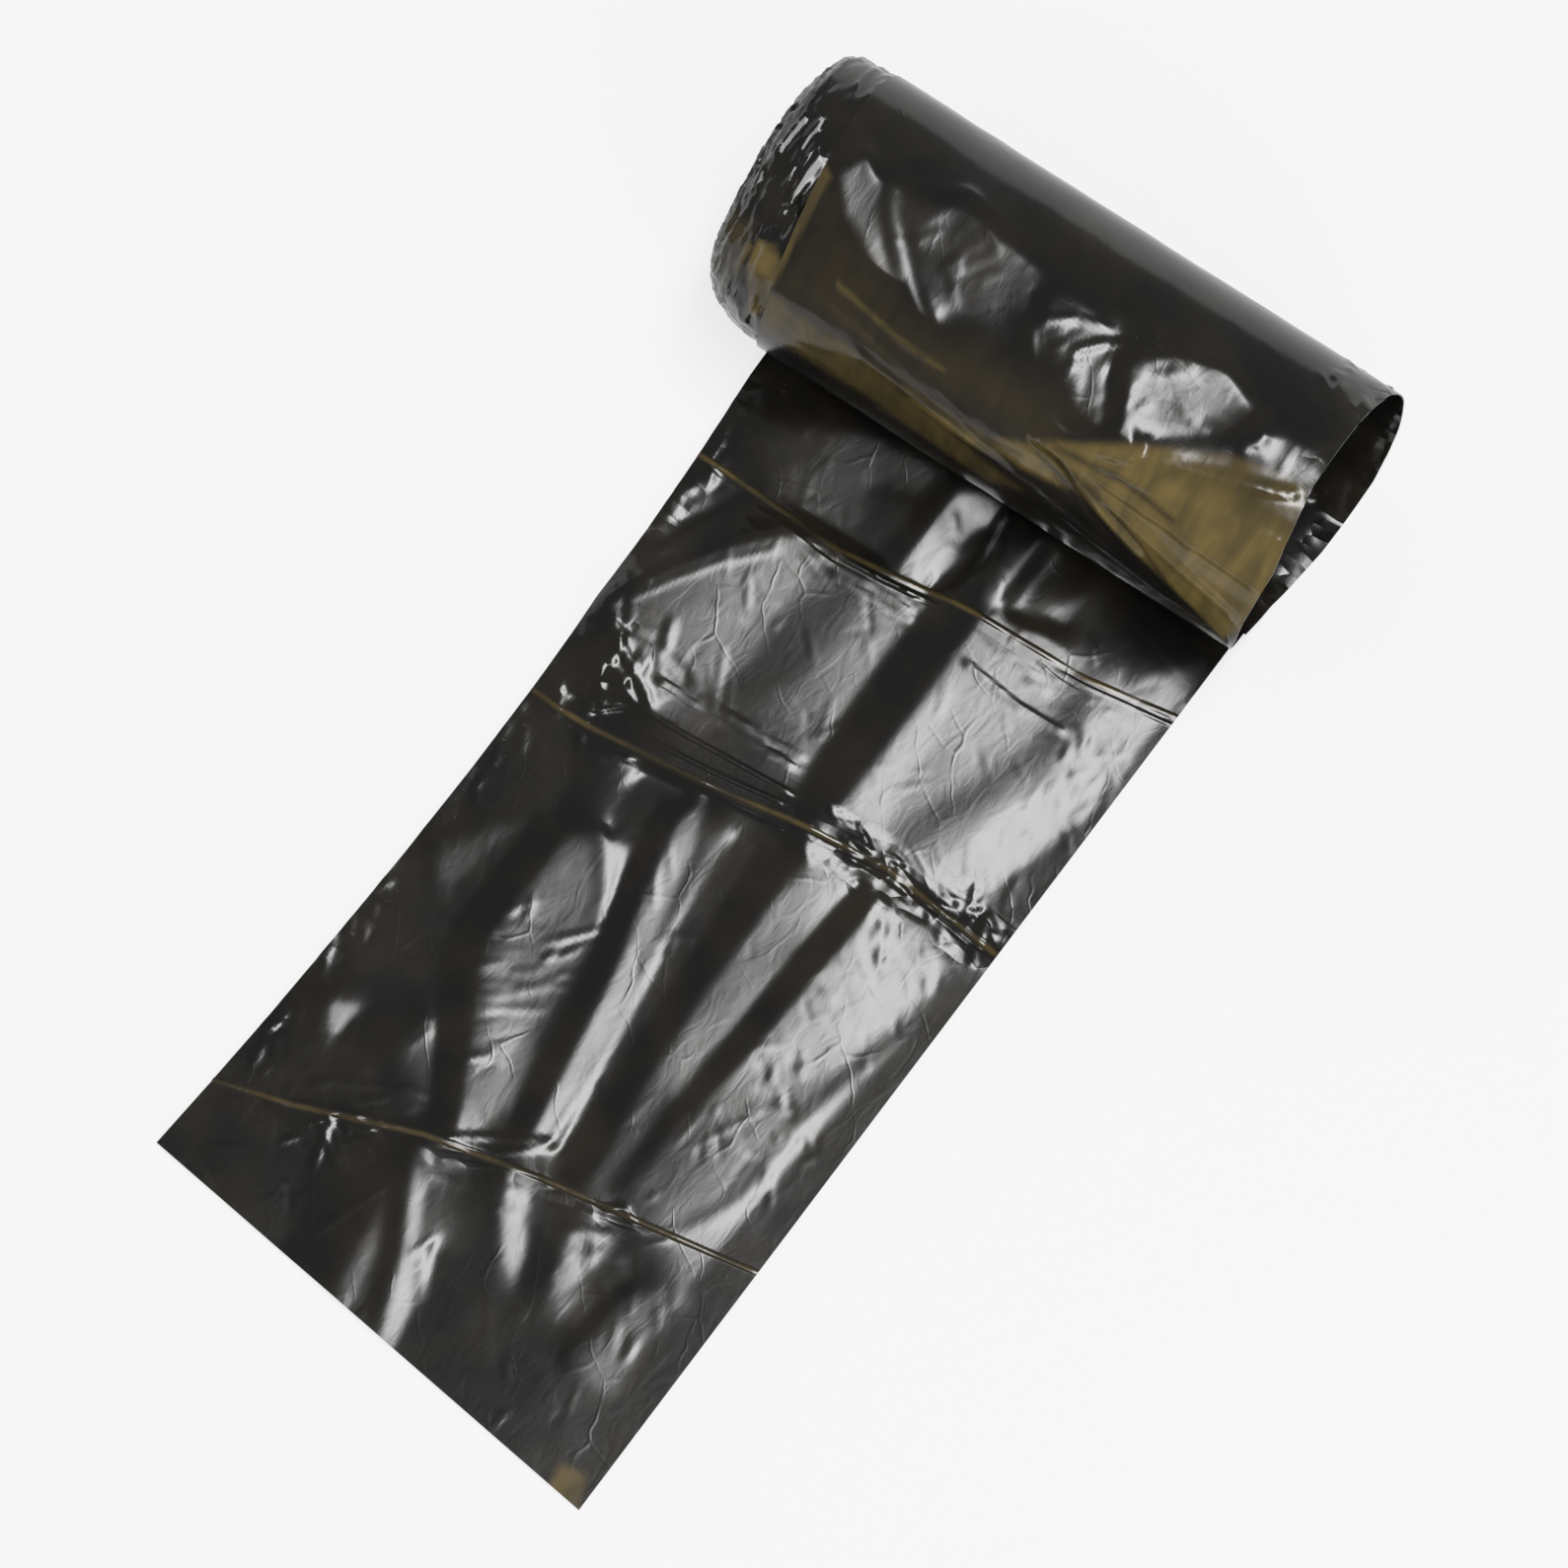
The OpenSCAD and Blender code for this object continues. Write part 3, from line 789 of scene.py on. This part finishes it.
turnOver = {
    "columns": 148,
    "rows": 262,
    "foldRows": 14,
    "spacing": (1.04, 1.045),
    "overlap": 0.03,       # how far the turn runs on under the leaving web, in turns
    "facing": 94,          # angle at which film on the roll mirrors the lamp
    "deepest": -1.3,       # how far the last turn sinks into the soft roll
    # angle from the back over the top, and the place of the film's edge there
    "leftEdge": [(-140, -77), (-90, -78), (-30, -79), (30, -80), (60, -80), (78, -78.6), (99, -77),
                 (124, -75), (150, -73.2), (170, -72.6), (200, -73), (232, -73.8)],
    "rightEdge": [(-140, 78), (-115, 78.7), (-85, 81.7), (-50, 83.2), (-25, 82.5), (5, 80.6),
                  (32, 78.6), (60, 77.2), (93, 76.8), (110, 78.4), (130, 80.2), (160, 79.4),
                  (175, 79.4), (200, 78), (232, 77)],
    "slackGrip": 0.004,
    "firmGrip": 4,
    "tie": 0.0002,
    "startsIn": 0.75,      # how far inside the next turn it starts
    "flatSpot": (-120, -60, 0.42),  # where the soft roll has settled: angles, height of the film
    "uneven": (0.25, 0.08),
    "crushed": (0.8, 0.06),         # at the right edge, and where it is messy
    "frontShade": 0.55,    # how much of the painted ochre light is taken off in front, and along the ridges
    "ridgeShade": 0.75,
    # Single lines: x and angle of their points, height, half width
    "lines": [
        ([(-8, 96), (0, 88), (10, 84)], 0.3, 1.5),
        ([(4, 100), (10, 90), (20, 82)], 0.35, 1.5),
        ([(8, 134), (76, 99)], 0.7, 2.4),
        ([(8, 134), (79, 118)], 0.7, 2.4),
        ([(8, 134), (80, 138)], 0.7, 2.4),
        ([(8, 134), (78, 158)], 0.7, 2.4),
        ([(-46, 147), (-14, 152), (20, 160), (60, 172)], 0.5, 2.4),
        ([(22, 140), (36, 150), (48, 158)], 0.8, 2.0),
        ([(-59, 125.6), (-36, 131), (-22, 131.8)], 0.35, 1.6),
        ([(-14, 155), (-9, 170)], 0.5, 1.6),
        ([(-12, 86), (-9, 98), (-3, 111)], 0.16, 1.5),
    ],
    # Short creases: count, box in x and angle, lengths, lean and its spread, height, half width,
    # seed
    "crinkles": [
        (24, (-52, 14, 78, 104), (8, 20), 120, 20, 0.06, 1.4, 45),
        (22, (-12, 30, 84, 108), (5, 14), 110, 30, 0.14, 1.5, 41),
        (50, (-70, 60, 125, 170), (8, 26), 20, 22, 0.22, 1.6, 42),
        (60, (-76, 78, 20, 200), (6, 20), 70, 40, 0.12, 1.6, 43),
        (40, (62, 84, -120, 60), (4, 14), 80, 25, 0.6, 1.4, 44),
    ],
    "messy": [(-14, 84), (24, 78), (44, 76), (58, 92), (40, 108), (10, 112)],
}


def arc(angle):
    return angle * math.pi / 180 * web["radius"]


def arcPatch(corners):
    return [(px, arc(pa)) for px, pa in corners]


# Where the last turn is flatter film that faces up and shines: corners as x and angle, fall to
# the right, soft edge
flatPatches = [
    ([(18, 92), (30, 79), (41, 74), (50, 80), (55, 89), (46, 99), (32, 110), (24, 106)], 0.073, 4),
    ([(18, 92), (30, 79), (30, 88), (28, 100), (31, 109), (24, 106)], 0.09, 2.5),
    ([(36, 115.5), (45, 103.5), (54, 98), (57, 101), (47, 106.5)], 0.085, 2),
    ([(58, 101), (57, 97.5), (65, 95), (77, 92.5), (78, 98), (66, 99.5)], 0.085, 2),
    ([(-73, 90), (-70, 80), (-60, 92), (-49, 108), (-46, 112), (-55, 110), (-66, 102)], 0.088, 3),
    ([(-60, 82), (-52, 93), (-40, 110), (-30, 120), (-36, 118), (-48, 105), (-57, 92)], 0.118, 2),
    ([(-54, 86), (-42, 76), (-22, 79), (-10, 85), (-13, 98), (-30, 98)], 0.061, 9),
    ([(-8, 84), (6, 84), (14, 89), (2, 98), (-5, 97)], 0.057, 6),
    ([(1, 101), (6, 91), (17, 93), (24, 104), (28, 117), (13, 118)], 0.056, 7),
    ([(-14, 92), (-8, 89), (-3, 100), (-8, 103)], 0.08, 2),
    ([(-4, 86), (4, 85), (3, 92), (-1, 94)], 0.08, 2),
]
# Narrow dark folds between them, where the film rises to the right: corners, rise, soft edge
risingFolds = [
    ([(13.5, 89), (17, 90), (23, 106), (26, 116), (22.5, 116), (19.5, 106)], 0.5, 1.4),
    ([(-12.5, 84), (-9, 84), (-6.5, 99), (-10, 99)], 0.25, 2),
    ([(55, 84), (58, 88), (55, 94), (48, 101), (36, 112), (34, 112), (47, 99)], 0.3, 1.6),
]
# Where warm light is painted on as ochre: corners as x and angle, soft edge, share
ochrePatches = [
    ([(6, 137), (20, 125.4), (31, 116), (46, 106.6), (55, 99.9), (66, 96.1), (76, 95), (80, 112),
      (82.5, 132), (80, 160), (76, 178), (66, 168), (44, 155), (26, 146)], 3, 1.0),
    ([(-34, 145), (-24, 147), (-4, 146), (10, 137), (22, 147), (4, 152), (-12, 155), (-26, 153)],
      3, 0.85),
    ([(-74, 144), (-60, 147), (-36, 145), (-22, 153), (10, 162), (0, 172), (-40, 166), (-74, 166)],
      5, 0.4),
    ([(-64, 132), (-48, 134), (-32, 140), (-20, 147), (-34, 143), (-52, 139)], 3, 0.2),
    ([(-72, 100), (-40, 118), (0, 120), (20, 112), (10, 138), (-30, 142), (-72, 140)], 14, 0.12),
    ([(-80, 88), (-74.4, 93), (-73.6, 115), (-73.2, 142), (-80, 142)], 1.4, 0.55),
    ([(-59, 124), (-36, 129.8), (-22, 130.6), (-22, 133), (-36, 132), (-59, 127)], 1.5, 0.5),
]
# Ridges along which the painted ochre light is taken out, leaving dark lines: x and angle
darkRidges = [
    [(8, 139), (19, 144), (31, 151), (44, 161)],
    [(14, 135), (24, 144), (37, 156), (50, 167)],
    [(10, 136), (28, 141), (46, 152), (60, 166)],
    [(-60, 140), (-40, 146), (-20, 148), (6, 146)],
    [(-30, 150), (-10, 149), (8, 152)],
    [(12, 133), (34, 130), (52, 134)],
]


def turnRelief(x, a):
    s = arc(a)
    shining = [(arcPatch(corners), slope, soft, 0) for corners, slope, soft in flatPatches]
    folds = [(arcPatch(corners), rise, soft) for corners, rise, soft in risingFolds]
    fall, away, firm = shiningFilm(x, s, shining, (), folds)
    # Flat film across the round of the roll turns its face to the same way up
    upright = np.tan(np.radians(np.clip(a - turnOver["facing"], -18, 18))) * firm
    grip = turnOver["slackGrip"] + turnOver["firmGrip"] * firm
    tie = np.full(x.shape, turnOver["tie"])
    h = softened(settleFilm(-fall, upright, grip, tie, turnOver["spacing"], turnOver["deepest"]), 1)
    for line, height, half in turnOver["lines"]:
        h += crease(x, s, arcPatch(line), height, half)
    for count, (x0, x1, a0, a1), *others in turnOver["crinkles"]:
        h += shortCreases(x, s, count, (x0, x1, arc(a0), arc(a1)), *others)
    broad, fine = turnOver["uneven"]
    h += broad * softNoise(x / 22 + 9, s / 26 + 60, 51)
    h += fine * softNoise(x / 8 + 30, s / 10 + 60, 52)
    return np.maximum(h, turnOver["deepest"])


def buildLastTurn():
    rows = turnOver["rows"]
    piece, row, column = filmGrid("lastTurn", turnOver["columns"], rows)
    across, k = np.meshgrid(np.linspace(0, 1, turnOver["columns"] + 1), np.arange(rows + 1))
    onRoll = k <= rows - turnOver["foldRows"]
    start = web["leaveAngle"] - 360 * (1 + turnOver["overlap"])
    t = np.clip(k / (rows - turnOver["foldRows"]), 0, 1)
    a = start + t * (web["leaveAngle"] - start)
    leftX = crossing(a, turnOver["leftEdge"])
    rightX = crossing(a, turnOver["rightEdge"])
    # The fold turns forward and leads the web onto the tail's line
    f = np.clip((k - (rows - turnOver["foldRows"])) / turnOver["foldRows"], 0, 1)
    leftX = leftX + f * (tail["leftEdge"][0][1] - leftX)
    rightX = rightX + f * (tail["rightEdge"] - rightX)
    x = leftX + across * (rightX - leftX)
    relief = turnRelief(x, a) * smooth(0, 12, web["leaveAngle"] - a) * smooth(-116, -60, a)
    turnsIn = (web["leaveAngle"] - a) / 360
    r = web["radius"] - turnOver["startsIn"] * smooth(0.8, 1.0, turnsIn) + relief
    ar = np.radians(a)
    y, z = r * np.cos(ar), web["axisHeight"] + r * np.sin(ar)
    fromAngle, toAngle, level = turnOver["flatSpot"]
    z = np.where((a > fromAngle) & (a < toAngle), np.maximum(z, level), z)
    bend = np.radians((web["leaveAngle"] - 180) * (1 - f) - 90 * f)
    fy = foldY + web["foldRadius"] * np.cos(bend)
    fz = web["foldHeight"] + web["foldRadius"] * np.sin(bend)
    y, z = np.where(onRoll, y, fy), np.where(onRoll, z, fz)
    writePlaces(piece, toFrame(np.stack([x, y, z], axis=-1)[row, column]))
    writeUv(piece, x[row, column] * mm, (-arc(web["leaveAngle"] - a) + 12 * f)[row, column] * mm)
    messy = insidePatch(x, arc(a), arcPatch(turnOver["messy"]), 8)
    atEdge, inMess = turnOver["crushed"]
    crushed = atEdge * smooth(8, 0, rightX - x) * smooth(100, 60, a) + inMess * messy
    writeMask(piece, "crushed", np.clip(crushed, 0, 1)[row, column])
    # Painted warm light: ochre patches on the last turn, weaker in front and taken out along dark
    # ridges
    paintedWarm = np.zeros(x.shape)
    for corners, soft, share in ochrePatches:
        paintedWarm = np.maximum(paintedWarm, share * insidePatch(x, arc(a), arcPatch(corners), soft))
    paintedWarm *= 1 - turnOver["frontShade"] * smooth(124, 104, a) * smooth(34, 48, x)
    for line in darkRidges:
        paintedWarm *= 1 - crease(x, arc(a), arcPatch(line), turnOver["ridgeShade"], 1.8)
    writeMask(piece, "paintedWarmLight", paintedWarm[row, column])
    thicken(piece)
    finishPiece(piece, blackFilm)


buildLastTurn()
print("the last turn is wound")


wound = {
    "around": 240,
    "profile": 320,
    "radius": 38.4,
    "holeWidth": 10.0,
    "holeHeight": 3.4,
    "turnPitch": 1.35,
    "lowest": 0.55,        # height of the underside
    "furthest": 20,        # angle at which the left end stands out most
    # Where the parts of the profile lie, as shares of its run
    "spans": [(0.0, 0.42, "left"), (0.42, 0.60, "rim"), (0.60, 0.90, "right"), (0.90, 1.0, "hole")],
    # How far the edges of the turns stand out at both ends: each lip, waves, crumples
    "leftEdges": (0.5, 0.55, 0.25),
    "rightEdges": (0.9, 0.9, 0.5),
    "shoulderFolds": 0.6,  # height of the crumples round the shoulder, and how far they lie back
    "shoulderBack": 0.3,
    # The left end stands out further at the back than at the front: x and radius
    "leftFront": [(-97.5, 5), (-97.3, 14), (-96.4, 22), (-94.8, 29), (-91, 35.2), (-86.5, 37.6),
                  (-82.6, 39.0), (-78, 39.9), (-72, 39.6), (-68, 38.4)],
    "leftBack": [(-97.5, 5), (-97.3, 14), (-97, 22), (-96.4, 29), (-95.6, 34), (-94.2, 37.6),
                 (-92, 39.6), (-88, 40.3), (-80, 40.2), (-74, 39.6), (-68, 38.4)],
    # Painted warm light, ochre on the left end: corners as x and angle, soft edge, share
    "paintedWarmPatches": [
        ([(-83, 129), (-78, 126), (-73.5, 133), (-73, 145), (-75, 168), (-82.6, 142)], 1.5, 0.9),
        ([(-85.2, 132), (-83.6, 133), (-84, 150), (-86, 146)], 1.2, 0.6),
        ([(-95, 128), (-86, 124), (-86, 165), (-94, 165)], 5, 0.25),
    ],
    # Flat slivers along the left shoulder, which shine: corners as x and angle
    "slivers": [
        [(-81.7, 85.5), (-78.2, 88), (-79.2, 110.5), (-82, 111)],
        [(-91, 75), (-88, 76), (-89, 97), (-92, 96)],
        [(-86.7, 74), (-84.2, 74), (-84.4, 91), (-86.9, 91)],
        [(-94.8, 86), (-92.2, 100), (-96.3, 106), (-96.2, 94)],
        [(-95.9, 80), (-94, 80), (-94.2, 83.5), (-95.9, 83.5)],
        [(-95.8, 70), (-94, 70), (-94.2, 73.5), (-95.8, 74)],
        [(-81.8, 112.6), (-79, 112.8), (-76.5, 115.6), (-81.4, 115.6)],
        [(-82.2, 117.6), (-80.2, 118), (-80, 121.6), (-81.8, 121.6)],
        [(-92.8, 103), (-90.6, 103), (-89.8, 112), (-92, 111.5)],
    ],
    # How soft their edges are, how they fall to the right, and how far they may turn and move
    "sliverEdge": 0.7,
    "sliverFall": 0.11,
    "sliverTurn": 60,
    "sliverDepth": 1.3,
    "right": [(60, 38.4), (67, 38.2), (69, 37.6), (67, 36.6), (64, 35.4), (60, 33), (57, 28),
              (55.5, 20), (55, 12), (55, 5)],
}


def alongProfile(knots, t):
    # Place on a polyline at the share t of its length
    knots = np.array(knots, dtype=float)
    steps = np.hypot(*np.diff(knots, axis=0).T)
    total = np.concatenate([[0], np.cumsum(steps)]) / steps.sum()
    return np.interp(t, total, knots[:, 0]), np.interp(t, total, knots[:, 1])


def buildWound():
    clearSelection()
    bpy.ops.mesh.primitive_torus_add(
        major_segments=wound["around"], minor_segments=wound["profile"], major_radius=1,
        minor_radius=0.25)
    piece = bpy.context.object
    piece.name = "woundTurns"
    ring = readPlaces(piece)
    major = np.arctan2(ring[:, 1], ring[:, 0])
    minor = np.arctan2(ring[:, 2], np.hypot(ring[:, 0], ring[:, 1]) - 1)
    # t runs once round the profile: left end, rim, right end, hole
    t = (np.pi - minor) / (2 * np.pi) % 1
    a = np.degrees(major)
    backness = smooth(-0.3, 0.9, np.cos(major - math.radians(wound["furthest"])))
    x, r, kind = (np.zeros(t.shape) for i in range(3))
    holeRadius = wound["holeWidth"] / 2
    for low, high, part in wound["spans"]:
        here = (t >= low) & (t < high)
        q = (t[here] - low) / (high - low)
        if part == "left":
            fx, fr = alongProfile(wound["leftFront"], q)
            bx, br = alongProfile(wound["leftBack"], q)
            w = backness[here]
            x[here], r[here] = fx * (1 - w) + bx * w, fr * (1 - w) + br * w
            kind[here] = 1
        elif part == "rim":
            front, behind = wound["leftFront"][-1][0], wound["leftBack"][-1][0]
            leftX = front * (1 - backness[here]) + behind * backness[here]
            x[here], r[here] = leftX + q * (wound["right"][0][0] - leftX), wound["radius"]
        elif part == "right":
            x[here], r[here] = alongProfile(wound["right"], q)
            kind[here] = 2
        else:
            rightX = wound["right"][-1][0]
            x[here], r[here] = rightX + q * (wound["leftFront"][0][0] - rightX), holeRadius
    # The edges of the turns stand out unevenly
    turnPlace = r / wound["turnPitch"]
    lip = np.abs((turnPlace % 1) - 0.5) * 2
    wave = softNoise(a / 360 * 24, np.floor(turnPlace) * 3.7, 61, 24)
    ragged = crumple(a / 360 * 60, x / 2.2 + r / 2.2, 62, 60)
    leftEnd, rightEnd = kind == 1, kind == 2
    ends = np.clip((r - 6) / 3, 0, 1)
    faceOn = smooth(36.5, 33, r)
    # Each sliver is a plane that faces the lamp
    flat, towards = np.zeros(t.shape), np.zeros(t.shape)
    for corners in wound["slivers"]:
        mask = insidePatch(x, arc(a % 360), arcPatch(corners), wound["sliverEdge"]) * leftEnd
        middleX, middleA = np.mean(corners, axis=0)
        level = (r * mask).sum() / max(mask.sum(), 1e-6)
        most = wound["sliverTurn"]
        lean = np.radians(np.clip(a - turnOver["facing"], -most, most))
        plane = level * math.cos(math.radians(middleA - turnOver["facing"])) / np.cos(lean)
        plane -= wound["sliverFall"] * (x - middleX)
        shift = np.clip(plane - r, -wound["sliverDepth"], wound["sliverDepth"])
        towards = np.where(mask > flat, shift, towards)
        flat = np.maximum(flat, mask)
    r = r + towards * flat
    byLip, byWave, byCrumple = wound["leftEdges"]
    out = (byLip * lip + byWave * wave) * faceOn + byCrumple * ragged * (1 - flat)
    x = np.where(leftEnd, x - out * ends, x)
    byLip, byWave, byCrumple = wound["rightEdges"]
    out = (byLip * lip + byWave * wave + byCrumple * ragged) * ends * smooth(39.2, 37.5, r)
    x = np.where(rightEnd, x + out, x)
    # Crumpled slivers run round the shoulder
    shoulder = np.where(leftEnd, smooth(30, 35, r), 0)
    shoulder += np.where((~leftEnd) & (x < -60), smooth(-60, -72, x), 0)
    sliver = np.maximum(crumple(a / 360 * 16, x / 3.4 + r / 3.0, 63, 16), -0.4)
    r = r + shoulder * (wound["shoulderFolds"] * sliver - wound["shoulderBack"]) * (1 - flat)
    # The middle has fallen in
    middle = np.clip((wound["radius"] - r) / (wound["radius"] - holeRadius), 0, 1) ** 3
    squash = 1 - (1 - wound["holeHeight"] / wound["holeWidth"]) * middle
    y, z = r * np.cos(major), web["axisHeight"] + r * squash * np.sin(major)
    z = np.maximum(z, wound["lowest"])
    writePlaces(piece, toFrame(np.stack([x, y, z], axis=1)))
    writeUv(piece, arc(a) * 0.5 * mm, (x + r) * 1.2 * mm)
    writeMask(piece, "crushed", np.clip(0.05 + 0.15 * shoulder, 0, 1) * (1 - flat))
    # Painted warm light: ochre patches on the left end, broken up at random
    patchy = 0.5 + 0.5 * smooth(-0.3, 0.4, softNoise(a / 360 * 40, x / 7, 64, 40))
    paintedWarmMask = 0
    for corners, soft, share in wound["paintedWarmPatches"]:
        paintedWarmMask = np.maximum(paintedWarmMask, share * insidePatch(x, arc(a % 360), arcPatch(corners), soft))
    writeMask(piece, "paintedWarmLight", paintedWarmMask * patchy)
    finishPiece(piece, blackFilm)


buildWound()
print("the wound turns are in place")
